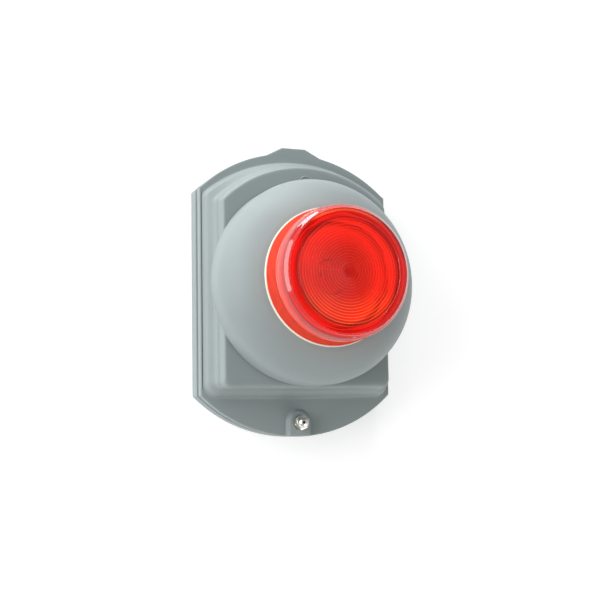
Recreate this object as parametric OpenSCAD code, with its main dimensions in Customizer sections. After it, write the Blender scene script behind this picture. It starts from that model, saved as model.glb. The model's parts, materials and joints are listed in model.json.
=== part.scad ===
// Wall-mounted horn strobe. A hinged cover closes on a deep back plate and is held by one cap nut.
// The cover carries a compression driver, a folded horn under a round dome, and a red strobe lens.
// Every shape is drawn lying on its back (x to the right, y up, z out of the wall), and upright()
// stands it up, so "depth" below is the distance from the wall.

/* [Outline] */
// Width across the straight sides
plate_w = 150; // [149:0.5:151]
// Radius of the round top and bottom
plate_r = 107; // [106.8:0.1:107.4]
// Height of that circle's centre above the dome's axis
plate_y = -3.6; // [-3.7:0.05:-3.5]

/* [Back plate] */
// Thickness of the back plate's floor
floor_t = 3; // [2.5:0.1:3.5]
// Depth of the rim behind the shadow groove
rim_depth = 11; // [10.6:0.1:11.4]
// Depth of the neck inside the shadow groove
neck_depth = 15.7; // [15.5:0.05:15.7]
// Inset of the neck from the outline
neck_inset = 1.8; // [1.6:0.1:2]
// Inset of the hollow from the outline
hollow_inset = 4.5; // [4.3:0.1:4.6]
// Sideways distance between mounting holes
mount_x = 100; // [98:1:102]
// Upright distance between mounting holes
mount_y = 120; // [118:1:122]
// Radius of a mounting hole
mount_r = 2.5; // [2:0.1:3]
// Height of the cable hole's centre
cable_y = -75; // [-78:1:-74]
// Radius of the cable's way through the grommet
cable_r = 5; // [4:0.5:6]

/* [Cover] */
// Depth at which the cover starts
cover_back = 16; // [16:0.05:16.1]
// Depth of the rim's front face
cover_rim = 22; // [21.9:0.1:22.2]
// Depth of the first step
step_a = 29.5; // [29:0.1:30]
// Depth of the second step
step_b = 37.3; // [37:0.1:38]
// Depth of the front face
front_face = 45.7; // [45.6:0.05:45.8]
// Thickness of the walls
wall = 2.5; // [2.3:0.1:2.6]
// Radius of the sound opening in the front face
sound_hole_r = 30; // [28:0.5:31]
// Half width of the flat top of the hinge tab
tab_top_w = 9.4; // [9.2:0.1:9.6]
// Half width of the hinge tab's foot
tab_foot_w = 23.3; // [22:0.1:24]
// Height of the hinge tab's top
tab_top = 107.7; // [107.4:0.1:108]

/* [Hinge and cap nut] */
// Height of the hinge's axis
hinge_y = 103; // [102.9:0.05:103.1]
// Depth of the hinge's axis
hinge_z = 18.5; // [18.4:0.05:18.6]
// Radius of the hinge bar
bar_r = 1.4; // [1.3:0.05:1.4]
// Radius of the hinge lugs
lug_r = 2.1; // [2:0.05:2.1]
// Height of the stud
stud_y = -100.2; // [-100.3:0.05:-100.1]
// Radius of the stud at the root of its M6 thread
stud_r = 2.39; // [2.3:0.01:2.4]
// Depth of the stud's tip
stud_tip = 32.6; // [31:0.1:32.7]
// Depth of the pad that the nut is tightened on
pad_front = 25.6; // [25.4:0.1:25.8]
// Width across the flats of the hexagons
nut_af = 10; // [9.8:0.1:10]

/* [Sound dome] */
// Largest radius of the dome
dome_r = 74.5; // [74:0.1:74.8]
// Depth at which the dome's rim ends, just in front of the cover
dome_back = 47.7; // [47.5:0.1:48.2]
// Depth at which the straight skirt turns into the round front
dome_turn = 63; // [62.8:0.1:63.2]
// Half axis of the round front's ellipse
dome_rise = 36; // [35.6:0.1:36.2]
// Depth of the seat that the strobe stands on
dome_seat = 89.6; // [89.4:0.1:89.8]
// Radius of the hole in the dome's front
dome_hole_r = 42.2; // [42:0.1:42.4]

/* [Strobe] */
// Radius of the strobe base's ring
ring_r = 49.1; // [49:0.1:49.6]
// Depth of the ring's front face
ring_front = 91.7; // [91.5:0.1:91.9]
// Radius of the lens at its foot
lens_foot_r = 48.3; // [48.2:0.1:48.6]
// Depth of the small step round the lens
lens_step = 105.5; // [104:0.5:107]
// Radius of the lens in front of the step
lens_r = 46.3; // [46:0.1:46.5]
// Depth of the lens's flat front
lens_front = 122; // [121:0.5:123]
// Thickness of the lens
lens_wall = 2.2; // [2:0.1:2.4]

/* [Hidden] */
$fn = 96;
eps = 0.5;

// Main board: it stands on four posts, and its parts stand on its front
board_size = [112, 100];
board_back = 8;
board_top = 9.6;
board_posts = [[-50, -44], [50, -44], [-50, 44], [50, 44]];
terminal_pitch = 10;
terminal_y = -43;
terminal_h = 12;
well_depth = 6;
selector_at = [-14, 44];
selector_travel = 4;
trimmer_at = [16, 43];
tamper_at = [48, 32];
tamper_gap = 0.3;
tamper_tip = 20;
small_body_h = 5;
tamper_h = 6;

// Hinge
lug_from = 10;
lug_w = 4;
side_gap = 0.2;
swing_gap = 0.3;
slot_front = hinge_z + lug_r + swing_gap;

// Seal between the back plate and the cover
seal_out = 2.6;
seal_in = 4.1;
seal_depth = 1.5;
seal_proud = 0.25;

// Driver, from its yoke forward to the cover's front wall
wall_back = front_face - wall;
yoke_back = 14;
yoke_t = 4;
magnet_front = 30;
top_plate_front = 34;
frame_flange_t = 3;
frame_r = 40;
cup_r = 30;
cup_in_r = 27;
fit_gap = 0.05;
pole_r = 9.2;
gap_r = 10.6;
coil_in_r = 9.6;
coil_out_r = 10.2;
coil_back = 27;
coil_l = 11;
film_t = 0.4;
driver_screw_ring = 35;

// Horn flare
throat_r = 16;
flare_r = 60;
flare_t = 2;
flare_flange_t = 2.5;
flare_flange_r = 39;
flare_front = 74;

// Dome
dome_wall = 2.5;
dome_steps = 14;
dome_post_at = 46.7;
dome_post_places = [for (x = [-1, 1], y = [-1, 1]) [x * dome_post_at, y * dome_post_at]];
dome_post_r = 3.6;
dome_screw_r = 1.6;

// Strobe
boss_r = 41.8;
boss_in_r = 38.5;
boss_back = 80;
ledge_front = 84;
ledge_in_r = 33;
strobe_board_t = 1.6;
strobe_board_front = ledge_front + strobe_board_t;
ring_screw_at = 44;
ledge_screw_at = 35.7;
tube_z = 103;
tube_r = 2.6;
collar_r = 14.2;
reflector_r = 42;

washer_t = 0.8;
nut_hex_h = 4.6;
nut_turn = 20;
nut_dome_r = 4.4;
nut_top = 36;
nut_bore_l = 7;

shell_grey = "#a3aaaa";
board_green = "#2f6b46";
steel = "#c6c9cc";
black_plastic = "#2b2b2d";

// ---- shared shapes ----

module upright() {
    rotate([90, 0, 0]) children();
}

module at_depth(z) {
    translate([0, 0, z]) children();
}

module places(list) {
    for (p = list) translate([p[0], p[1], 0]) children();
}

module around(count, radius, first = 0) {
    for (i = [0:count - 1])
        rotate([0, 0, first + i * 360 / count]) translate([radius, 0, 0]) children();
}

module tube(outer, inner, h) {
    difference() {
        cylinder(r = outer, h = h);
        at_depth(-eps) cylinder(r = inner, h = h + 2 * eps);
    }
}

// Cross-recessed screw: its seat is at z = 0, its shank goes down
module screw(head_r, head_h, shank_r, shank_l) {
    difference() {
        union() {
            cylinder(r = head_r, h = head_h);
            at_depth(-shank_l) cylinder(r = shank_r, h = shank_l + eps);
        }
        for (a = [0, 90])
            rotate([0, 0, a])
                translate([-head_r * 0.6, -head_r * 0.12, head_h * 0.5])
                    cube([head_r * 1.2, head_r * 0.24, head_h]);
    }
}

// A circle cut off by two straight sides, drawn inside the full outline by inset
module outline(inset = 0) {
    intersection() {
        square([plate_w - 2 * inset, 3 * plate_w], center = true);
        translate([0, plate_y]) circle(r = plate_r - inset);
    }
}

// One raised tier of the cover: arched top, straight sides, flat foot with rounded corners
module tier(half_w, arc_r, arc_y, foot, corner, inset = 0) {
    w = half_w - inset;
    y = foot + inset;
    c = corner - inset;
    intersection() {
        union() {
            translate([0, arc_y]) circle(r = arc_r - inset);
            translate([-w, y]) square([2 * w, arc_y - y]);
        }
        union() {
            translate([-w, y + c]) square([2 * w, 2 * arc_r]);
            translate([c - w, y]) square([2 * (w - c), 2 * arc_r]);
            for (s = [-1, 1]) translate([s * (w - c), y + c]) circle(r = c);
        }
    }
}

module tier_a(inset = 0) tier(72, 109, -15, -80.5, 9, inset);
module tier_b(inset = 0) tier(66.9, 92, -2, -76.5, 6, inset);
module tier_c(inset = 0) tier(64.8, 90, -2, -75.5, 5.5, inset);

module hinge_axis(from_x, to_x, radius) {
    translate([from_x, hinge_y, hinge_z])
        rotate([0, 90, 0]) cylinder(r = radius, h = to_x - from_x);
}

// ---- back plate and what stands on it ----

module back_plate_lugs() {
    for (s = [-1, 1]) {
        x = s > 0 ? lug_from : -lug_from - lug_w;
        hinge_axis(x, x + lug_w, lug_r);
        translate([x, hinge_y - lug_r, rim_depth - 2])
            cube([lug_w, 2 * lug_r, hinge_z - rim_depth + 2]);
    }
}

module back_plate() {
    color(shell_grey) upright() difference() {
        union() {
            linear_extrude(floor_t) outline();
            linear_extrude(rim_depth) difference() {
                outline();
                outline(hollow_inset);
            }
            linear_extrude(neck_depth) difference() {
                outline(neck_inset);
                outline(hollow_inset);
            }
            places(board_posts) cylinder(r = 3.5, h = board_back);
            translate([0, stud_y]) cylinder(r = 5, h = board_back);
            translate([0, cable_y]) tube(11.5, 10.2, floor_t + 2);
            back_plate_lugs();
        }
        for (x = [-1, 1], y = [-1, 1])
            translate([x * mount_x / 2, y * mount_y / 2, -eps])
                cylinder(r = mount_r, h = floor_t + 2 * eps);
        translate([0, cable_y, -eps]) cylinder(r = 8, h = floor_t + 2 * eps);
        places(board_posts) at_depth(floor_t) cylinder(r = 1.5, h = board_back);
        translate([0, stud_y, floor_t]) cylinder(r = stud_r, h = board_back);
        hinge_axis(-lug_from - lug_w - eps, lug_from + lug_w + eps, bar_r);
    }
}

module hinge_bar() {
    color(steel) upright() hinge_axis(-lug_from - lug_w, lug_from + lug_w, bar_r);
}

module cable_grommet() {
    color(black_plastic) upright() translate([0, cable_y, 0]) difference() {
        union() {
            cylinder(r = 8, h = floor_t + eps);
            at_depth(floor_t) cylinder(r = 10, h = 2);
        }
        at_depth(-eps) cylinder(r = cable_r, h = floor_t + 2 + 2 * eps);
    }
}

module cover_stud() {
    color(steel) upright() translate([0, stud_y, floor_t]) cylinder(r = stud_r, h = stud_tip - floor_t);
}

module stud_nut() {
    color(steel) upright() translate([0, stud_y, board_back]) difference() {
        rotate([0, 0, 30]) cylinder(r = nut_af / 2 / cos(30), h = 4.5, $fn = 6);
        at_depth(-eps) cylinder(r = stud_r, h = 6);
    }
}

module main_board() {
    color(board_green) upright() at_depth(board_back) difference() {
        translate([-board_size[0] / 2, -board_size[1] / 2])
            cube([board_size[0], board_size[1], board_top - board_back]);
        places(board_posts) at_depth(-eps) cylinder(r = 1.6, h = 3);
    }
}

module board_screws() {
    color(steel) upright() places(board_posts) at_depth(board_top) screw(2.8, 2, 1.5, 5.6);
}

function terminal_x(i) = (i - 2.5) * terminal_pitch;

module terminal_block() {
    color("#3f7d4f") upright() difference() {
        translate([-3 * terminal_pitch, terminal_y - 6, board_top])
            cube([6 * terminal_pitch, 12, terminal_h]);
        for (i = [0:5])
            translate([terminal_x(i), terminal_y, board_top]) {
                at_depth(well_depth) cylinder(r = 2.6, h = terminal_h);
                at_depth(3) rotate([90, 0, 0]) cylinder(r = 2, h = 8);
            }
    }
}

module terminal_screws() {
    color(steel) upright() for (i = [0:5])
        translate([terminal_x(i), terminal_y, board_top + well_depth]) difference() {
            cylinder(r = 2.3, h = 2.5);
            translate([-3, -0.4, 1.6]) cube([6, 0.8, 2]);
        }
}

module transformer() {
    color("#b08a3c") upright() translate([-46, 0, board_top]) {
        translate([-5, -11, 0]) cube([10, 22, 16]);
        translate([-9, -7, 2]) cube([18, 14, 12]);
    }
}

module flash_capacitor() {
    color("#35518f") upright() translate([46, 18, board_top + 9]) rotate([90, 0, 0]) union() {
        cylinder(r = 9, h = 33);
        at_depth(33) cylinder(r = 8.4, h = 1);
        at_depth(34) cylinder(r = 9, h = 2);
    }
}

module board_capacitors() {
    color("#37456e") upright() places([[-50, 26], [-39, 31]]) at_depth(board_top) cylinder(r = 4, h = 12);
}

module controller_chip() {
    color(black_plastic) upright() at_depth(board_top) {
        translate([-11, -4, 0.4]) cube([22, 8, 2]);
        for (i = [0:8], s = [-1, 1])
            translate([(i - 4) * 2.4 - 0.3, s > 0 ? 3.5 : -5.5, 0]) cube([0.6, 2, 1]);
    }
}

module candela_switch() {
    color("#8f1f1c") upright() translate([selector_at[0], selector_at[1], board_top]) difference() {
        translate([-10, -4, 0]) cube([20, 8, small_body_h]);
        translate([-selector_travel - 2.5, -1.8, 1.5]) cube([2 * selector_travel + 5, 3.6, small_body_h]);
    }
}

module candela_slider() {
    color("white") upright() translate([selector_at[0], selector_at[1], board_top])
        translate([-2, -1.5, 1.8]) cube([4, 3, small_body_h]);
}

module trimmer_body() {
    color("#2b4fa0") upright() translate([trimmer_at[0], trimmer_at[1], board_top]) difference() {
        translate([-5, -5, 0]) cube([10, 10, small_body_h]);
        at_depth(1.5) cylinder(r = 2.48, h = small_body_h);
    }
}

module trimmer_rotor() {
    color("white") upright() translate([trimmer_at[0], trimmer_at[1], board_top + 1.8]) difference() {
        cylinder(r = 2.4, h = 3.8);
        translate([-3, -0.4, 2.8]) cube([6, 0.8, 2]);
    }
}

module tamper_switch() {
    color(black_plastic) upright() translate([tamper_at[0], tamper_at[1], board_top]) difference() {
        translate([-5, -5, 0]) cube([10, 10, tamper_h]);
        at_depth(1) cylinder(r = 1.58, h = tamper_h);
    }
}

module tamper_plunger() {
    color("#d0b060") upright() translate([tamper_at[0], tamper_at[1], board_top + 1.3])
        cylinder(r = 1.5, h = tamper_tip - board_top - 1.3);
}

// ---- cover ----

module cover_body() {
    at_depth(cover_back) linear_extrude(cover_rim - cover_back) {
        outline();
        polygon([[-tab_foot_w, 100], [-tab_top_w, tab_top], [tab_top_w, tab_top], [tab_foot_w, 100]]);
    }
    at_depth(cover_rim - 1) linear_extrude(step_a - cover_rim + 1) tier_a();
    at_depth(step_a - 1) linear_extrude(step_b - step_a + 1) tier_b();
    at_depth(step_b - 1) linear_extrude(front_face - step_b + 1) tier_c();
    at_depth(cover_rim - 1) linear_extrude(pad_front - cover_rim + 1) intersection() {
        outline();
        union() {
            translate([0, stud_y]) circle(r = 8.5);
            translate([-8.5, stud_y - 20]) square([17, 20]);
        }
    }
    translate([0, 76, front_face - 1]) tube(5, 4.2, 1.4);
}

module cover_hollow() {
    at_depth(cover_back - eps) linear_extrude(step_a - wall - cover_back + eps) tier_a(wall);
    at_depth(cover_back) linear_extrude(step_b - wall - cover_back) tier_b(wall);
    at_depth(cover_back) linear_extrude(wall_back - cover_back) tier_c(wall);
}

module cover_hinge_slots() {
    for (s = [-1, 1]) {
        x = s > 0 ? lug_from - side_gap : -lug_from - lug_w - side_gap;
        translate([x, hinge_y - lug_r - swing_gap, cover_back - eps])
            cube([lug_w + 2 * side_gap, 10, slot_front - cover_back + eps]);
    }
    hinge_axis(-lug_from, lug_from, bar_r + 0.05);
}

module cover_shell() {
    color(shell_grey) upright() {
        difference() {
            cover_body();
            cover_hollow();
            cover_hinge_slots();
            at_depth(wall_back - eps) cylinder(r = sound_hole_r, h = 2 * wall);
            around(4, driver_screw_ring, 45) at_depth(wall_back - eps) cylinder(r = 1.5, h = 2 * wall);
            places(dome_post_places) at_depth(wall_back - eps) cylinder(r = dome_screw_r, h = 2 * wall);
            translate([0, stud_y, cover_back - eps]) cylinder(r = 3.3, h = 2 * (pad_front - cover_back));
            at_depth(cover_back - eps) linear_extrude(seal_depth + eps) difference() {
                outline(seal_out);
                outline(seal_in);
            }
        }
        translate([tamper_at[0], tamper_at[1], tamper_tip + tamper_gap])
            cylinder(r = 3, h = wall_back + eps - tamper_tip - tamper_gap);
    }
}

module cover_seal() {
    color(black_plastic) upright() at_depth(cover_back - seal_proud)
        linear_extrude(seal_depth + seal_proud) difference() {
            outline(seal_out + 0.1);
            outline(seal_in - 0.1);
        }
}

// ---- driver ----

module driver_frame() {
    color("#4a4d50") upright() difference() {
        union() {
            at_depth(wall_back - frame_flange_t) cylinder(r = frame_r, h = frame_flange_t);
            at_depth(magnet_front) cylinder(r = cup_r, h = wall_back - magnet_front);
        }
        at_depth(magnet_front - eps) cylinder(r = cup_in_r + fit_gap, h = wall_back);
        around(4, driver_screw_ring, 45) at_depth(magnet_front) cylinder(r = 1.5, h = 20);
    }
}

module driver_top_plate() {
    color(steel) upright() at_depth(magnet_front) tube(cup_in_r, gap_r, top_plate_front - magnet_front);
}

module driver_magnet() {
    color("#3a3a3c") upright() at_depth(yoke_back + yoke_t)
        tube(cup_r, 14, magnet_front - yoke_back - yoke_t);
}

module driver_yoke() {
    color(steel) upright() {
        at_depth(yoke_back) cylinder(r = cup_in_r, h = yoke_t);
        at_depth(yoke_back) cylinder(r = pole_r, h = top_plate_front - yoke_back);
    }
}

module driver_screws() {
    color(steel) upright() around(4, driver_screw_ring, 45)
        at_depth(wall_back - frame_flange_t) mirror([0, 0, 1]) screw(2.8, 2, 1.5, 7);
}

module diaphragm() {
    foot = coil_back + coil_l;
    back = [[0, 1.6], [4, 1.4], [8, 0.6], [coil_in_r, 0], [coil_out_r, 0], [14, 1], [20, 1], [25.3, 0]];
    color("#c9c2a6") upright() at_depth(foot) rotate_extrude() polygon(concat(
        back, [for (p = reversed(back)) p + [0, film_t]]
    ));
}

module voice_coil() {
    color("#b5652a") upright() at_depth(coil_back) tube(coil_out_r, coil_in_r, coil_l);
}

// The horn's bell is a quarter ellipse that leaves the throat straight and ends flat
function bell(r0, rise, a) =
    [r0 + (flare_r - r0) * (1 - cos(a)), front_face + flare_flange_t + rise * sin(a)];

module horn_flare() {
    bell_rise = flare_front - front_face - flare_flange_t;
    inner = [for (i = [0:12]) bell(throat_r, bell_rise, i * 7.5)];
    outer = [for (i = [12:-1:0]) bell(throat_r + flare_t, bell_rise - flare_t, i * 7.5)];
    color("#8b9092") upright() difference() {
        union() {
            rotate_extrude() polygon(concat(
                [[throat_r, front_face]], inner, outer, [[throat_r + flare_t, front_face]]
            ));
            at_depth(front_face) tube(flare_flange_r, throat_r, flare_flange_t);
        }
        around(4, driver_screw_ring, 45) at_depth(front_face - eps) cylinder(r = 1.5, h = 2.2);
    }
}

// ---- dome ----

// Points of the ellipse from the skirt's end up to depth z_end, on a surface inset by t
function dome_arc(t, z_end) = [
    for (i = [0:dome_steps])
        let (a = i / dome_steps * asin((z_end - dome_turn) / (dome_rise - t)))
            [(dome_r - t) * cos(a), dome_turn + (dome_rise - t) * sin(a)]
];

function reversed(list) = [for (i = [len(list) - 1:-1:0]) list[i]];

module dome_posts() {
    intersection() {
        places(dome_post_places) at_depth(front_face)
            cylinder(r = dome_post_r, h = dome_seat - front_face);
        rotate_extrude() polygon(concat(
            [[0, front_face], [dome_r - 1, front_face]], dome_arc(1, dome_seat - 1), [[0, dome_seat - 1]]
        ));
    }
}

module sound_dome() {
    color(shell_grey) upright() difference() {
        union() {
            rotate_extrude() polygon(concat(
                [[dome_r, dome_back]], dome_arc(0, dome_seat), [[dome_hole_r, dome_seat]],
                [[dome_hole_r, dome_seat - dome_wall]],
                reversed(dome_arc(dome_wall, dome_seat - dome_wall)),
                [[dome_r - dome_wall, dome_back]]
            ));
            dome_posts();
        }
        places(dome_post_places) at_depth(front_face - eps) cylinder(r = dome_screw_r, h = 17);
        around(3, ring_screw_at, 90) at_depth(dome_seat - dome_wall - eps) cylinder(r = 1.2, h = 5);
    }
}

module dome_screws() {
    color(steel) upright() places(dome_post_places) at_depth(wall_back)
        mirror([0, 0, 1]) screw(3, 2.2, dome_screw_r, 15);
}

// ---- strobe ----

module strobe_base() {
    color("#efe6cf") upright() difference() {
        union() {
            at_depth(dome_seat) tube(ring_r, boss_in_r, ring_front - dome_seat);
            at_depth(boss_back) tube(boss_r, boss_in_r, ring_front - boss_back);
            at_depth(boss_back) tube(boss_r, ledge_in_r, ledge_front - boss_back);
        }
        at_depth(dome_seat - eps) tube(48.4, 45.8, eps + 1);
        around(3, ring_screw_at, 90) at_depth(dome_seat - eps) cylinder(r = 1.2, h = 5);
        around(3, ledge_screw_at, 30) at_depth(boss_back - eps) cylinder(r = 1.2, h = 5);
    }
}

module strobe_gasket() {
    color(black_plastic) upright() at_depth(dome_seat) tube(48.3, 45.9, 1);
}

module strobe_screws() {
    color(steel) upright() around(3, ring_screw_at, 90) at_depth(ring_front) screw(1.9, 1.4, 1.2, 4.3);
}

module strobe_board() {
    color(board_green) upright() at_depth(ledge_front) difference() {
        cylinder(r = 38.2, h = strobe_board_t);
        around(3, ledge_screw_at, 30) at_depth(-eps) cylinder(r = 1.2, h = 3);
    }
}

module strobe_board_screws() {
    color(steel) upright() around(3, ledge_screw_at, 30)
        at_depth(strobe_board_front) screw(2, 1.4, 1.2, 5);
}

module trigger_coil() {
    color("#b5652a") upright() translate([-24, -12, strobe_board_front]) {
        cylinder(r = 4.6, h = 1);
        cylinder(r = 3.8, h = 6);
        at_depth(5.2) cylinder(r = 4.6, h = 1);
    }
}

module tube_base() {
    color("#e8e4d8") upright() difference() {
        union() {
            at_depth(strobe_board_front) cylinder(r = 11, h = 10);
            for (s = [-1, 1])
                translate([s * 8 - 1.5, -4, strobe_board_front + 9])
                    cube([3, 8, tube_z + 4 - strobe_board_front - 9]);
        }
        translate([-12, 0, tube_z]) rotate([0, 90, 0]) cylinder(r = tube_r, h = 24);
    }
}

module flash_tube() {
    color("#dfe8ee") upright() translate([-13, 0, tube_z])
        rotate([0, 90, 0]) cylinder(r = tube_r, h = 26);
}

// Dish of the reflector: a parabola that opens towards the lens
function dish(r, lift) = [r, 92 + lift + 14 * pow((r - collar_r) / (reflector_r - collar_r), 2)];

module reflector() {
    dish_in = [for (i = [0:10]) dish(collar_r + i * (reflector_r - collar_r) / 10, 1)];
    dish_out = [for (i = [10:-1:0]) dish(collar_r + i * (reflector_r - collar_r) / 10, 0)];
    color("#e6e8ea") upright() rotate_extrude() polygon(concat(
        [[13, strobe_board_front], [13, 93]], dish_in, dish_out, [[collar_r, strobe_board_front]]
    ));
}

module strobe_lens() {
    t = lens_wall;
    color("#e5352b") upright() rotate_extrude() polygon([
        [lens_foot_r, ring_front], [lens_foot_r - 0.9, lens_step], [lens_r + 0.2, lens_step + 0.8],
        [lens_r, lens_front - 4.4], [lens_r - 0.8, lens_front - 2], [lens_r - 2.4, lens_front - 0.5],
        [lens_r - 5.2, lens_front], [0, lens_front], [0, lens_front - t], [lens_r - 5.6, lens_front - t],
        [lens_r - t - 0.3, lens_front - 5], [lens_r - t, lens_step], [lens_foot_r - t, ring_front]
    ]);
}

// ---- cap nut ----

module nut_washer() {
    color(steel) upright() translate([0, stud_y, pad_front]) tube(5.6, 3.2, washer_t);
}

module cap_nut() {
    foot = pad_front + washer_t;
    color(steel) upright() translate([0, stud_y, 0]) difference() {
        union() {
            rotate([0, 0, nut_turn]) at_depth(foot)
                cylinder(r = nut_af / 2 / cos(30), h = nut_hex_h, $fn = 6);
            at_depth(foot) cylinder(r = nut_dome_r, h = nut_top - nut_dome_r - foot);
            at_depth(nut_top - nut_dome_r) sphere(r = nut_dome_r);
        }
        at_depth(foot - eps) cylinder(r = 3, h = nut_bore_l + eps);
    }
}

back_plate();
hinge_bar();
cable_grommet();
cover_stud();
stud_nut();
main_board();
board_screws();
terminal_block();
terminal_screws();
transformer();
flash_capacitor();
board_capacitors();
controller_chip();
candela_switch();
candela_slider();
trimmer_body();
trimmer_rotor();
tamper_switch();
tamper_plunger();
cover_shell();
cover_seal();
driver_frame();
driver_top_plate();
driver_magnet();
driver_yoke();
driver_screws();
diaphragm();
voice_coil();
horn_flare();
sound_dome();
dome_screws();
strobe_base();
strobe_gasket();
strobe_screws();
strobe_board();
strobe_board_screws();
trigger_coil();
tube_base();
flash_tube();
reflector();
strobe_lens();
nut_washer();
cap_nut();
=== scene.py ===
"""Looks of the wall-mounted horn strobe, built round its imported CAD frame.

Lengths below are millimetres, as (x, up, depth): x to the right, up the wall, depth out of
the wall. place() turns them into the frame's metres.
"""
import bisect
import json
import math

import bmesh
import bpy
from mathutils import Matrix, Vector


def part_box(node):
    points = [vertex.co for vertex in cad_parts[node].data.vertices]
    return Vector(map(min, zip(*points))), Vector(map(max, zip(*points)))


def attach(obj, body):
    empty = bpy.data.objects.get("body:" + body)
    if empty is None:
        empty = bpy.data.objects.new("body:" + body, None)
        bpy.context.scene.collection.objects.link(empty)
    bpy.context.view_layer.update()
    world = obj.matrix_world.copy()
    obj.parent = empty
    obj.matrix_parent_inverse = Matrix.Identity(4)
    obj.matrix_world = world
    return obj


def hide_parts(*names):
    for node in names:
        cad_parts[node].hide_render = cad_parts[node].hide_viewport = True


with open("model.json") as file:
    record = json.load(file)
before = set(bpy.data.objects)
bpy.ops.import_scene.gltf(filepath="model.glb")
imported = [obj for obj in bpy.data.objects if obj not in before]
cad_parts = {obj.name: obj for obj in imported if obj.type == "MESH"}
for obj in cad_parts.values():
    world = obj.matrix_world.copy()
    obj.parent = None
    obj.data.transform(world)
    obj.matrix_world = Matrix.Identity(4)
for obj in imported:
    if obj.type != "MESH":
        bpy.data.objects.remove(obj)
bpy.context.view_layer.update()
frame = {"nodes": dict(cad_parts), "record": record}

MM = 0.001


def place(x, up, depth):
    return Vector((x * MM, -depth * MM, up * MM))


def span(node):
    """A CAD node's lowest and highest (x, up, depth) in millimetres."""
    lo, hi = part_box(node)
    return (lo.x / MM, lo.z / MM, -hi.y / MM), (hi.x / MM, hi.z / MM, -lo.y / MM)


def middle(node):
    """The (x, up, depth) of the middle of a CAD node's box."""
    return tuple((low + high) / 2 for low, high in zip(*span(node)))


# ---------------------------------------------------------------- sizes from the frame

_, COVER_HI = span("cover_shell")
DOME_LO, DOME_HI = span("sound_dome")
RING_LO, RING_HI = span("strobe_base")
LENS_LO, LENS_HI = span("strobe_lens")
NUT_LO, NUT_HI = span("cap_nut")
STUD_UP = (NUT_LO[1] + NUT_HI[1]) / 2

HALF_W = COVER_HI[0]            # half of the plate's width
TAB_TOP = COVER_HI[1]           # height of the hinge tab's flat top
FACE = DOME_LO[2]               # depth of the cover's front face, where the dome's posts stand
COVER_BACK = 16.0               # depth at which the cover starts
RIM_FRONT = 22.0                # depth of the rim's front face
PLATE_FLOOR = 3.0               # depth of the back plate's inner floor
PLATE_R = 107.0                 # radius of the round top and bottom
PLATE_UP = -3.6                 # height of that circle's centre
FLAT_R = 4000.0                 # radius that stands for a straight foot
WALL = 2.5                      # wall thickness of the cover
SOUND_HOLE_R = 30.0
STUD_HOLE_R = 3.3
TAB_HALF_W = 9.4                # half width of the tab's flat top
TAB_SLOPE = 0.52                # fall of the tab's sides for each millimetre outwards
RIDGE_PITCH = 2.0               # spacing of the lens's ring prisms


# ---------------------------------------------------------------- mesh helpers

def new_piece(name, verts, faces, smooth=40):
    mesh = bpy.data.meshes.new(name)
    mesh.from_pydata([tuple(v) for v in verts], [], faces)
    mesh.validate()
    piece = bpy.data.objects.new(name, mesh)
    bpy.context.scene.collection.objects.link(piece)
    tidy_normals(piece, smooth)
    return piece


def tidy_normals(piece, smooth=40):
    bm = bmesh.new()
    bm.from_mesh(piece.data)
    bmesh.ops.remove_doubles(bm, verts=bm.verts, dist=1e-7)
    bmesh.ops.recalc_face_normals(bm, faces=bm.faces)
    bm.to_mesh(piece.data)
    bm.free()
    piece.data.shade_smooth()
    piece.data.set_sharp_from_angle(angle=math.radians(smooth))


def loft(name, loops, closed=False, smooth=40):
    """Skin over loops of (x, up, depth) with equal counts. An open skin is capped at both ends."""
    count = len(loops[0])
    verts = [place(*p) for loop in loops for p in loop]
    faces = []
    rows = len(loops) if closed else len(loops) - 1
    for i in range(rows):
        a, b = i * count, (i + 1) % len(loops) * count
        for j in range(count):
            k = (j + 1) % count
            faces.append((a + j, a + k, b + k, b + j))
    if not closed:
        faces.append(tuple(range(count)))
        faces.append(tuple(range((len(loops) - 1) * count, len(loops) * count)))
    return new_piece(name, verts, faces, smooth)


def revolve(name, profile, steps=192, centre=(0, 0), closed=True, smooth=40):
    """Turns (radius, depth) points about an axis out of the wall. Radius 0 ends in a point."""
    verts, rows = [], []
    for r, depth in profile:
        if r < 1e-6:
            rows.append([len(verts)] * steps)
            verts.append(place(centre[0], centre[1], depth))
            continue
        rows.append(list(range(len(verts), len(verts) + steps)))
        for i in range(steps):
            a = 2 * math.pi * i / steps
            x, up = centre[0] + r * math.cos(a), centre[1] + r * math.sin(a)
            verts.append(place(x, up, depth))
    faces = []
    for i in range(len(rows) if closed else len(rows) - 1):
        a, b = rows[i], rows[(i + 1) % len(rows)]
        for j in range(steps):
            k = (j + 1) % steps
            face = list(dict.fromkeys((a[j], a[k], b[k], b[j])))
            if len(face) > 2:
                faces.append(face)
    return new_piece(name, verts, faces, smooth)


def cylinder_between(start, end, radius):
    """A plain round cutter from one (x, up, depth) to another."""
    steps = 48
    a, b = place(*start), place(*end)
    along = (b - a).normalized()
    side = along.orthogonal().normalized()
    other = along.cross(side)
    verts = []
    for end_point in (a, b):
        for i in range(steps):
            t = 2 * math.pi * i / steps
            verts.append(end_point + (side * math.cos(t) + other * math.sin(t)) * radius * MM)
    faces = [(i, (i + 1) % steps, steps + (i + 1) % steps, steps + i) for i in range(steps)]
    faces += [tuple(range(steps)), tuple(range(steps, 2 * steps))]
    return verts, faces


def box_between(lo, hi):
    """A plain box cutter between two opposite (x, up, depth) corners."""
    verts = [place(x, up, depth)
             for x in (lo[0], hi[0]) for up in (lo[1], hi[1]) for depth in (lo[2], hi[2])]
    faces = [(0, 1, 3, 2), (4, 6, 7, 5), (0, 4, 5, 1), (2, 3, 7, 6), (0, 2, 6, 4), (1, 5, 7, 3)]
    return verts, faces


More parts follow.
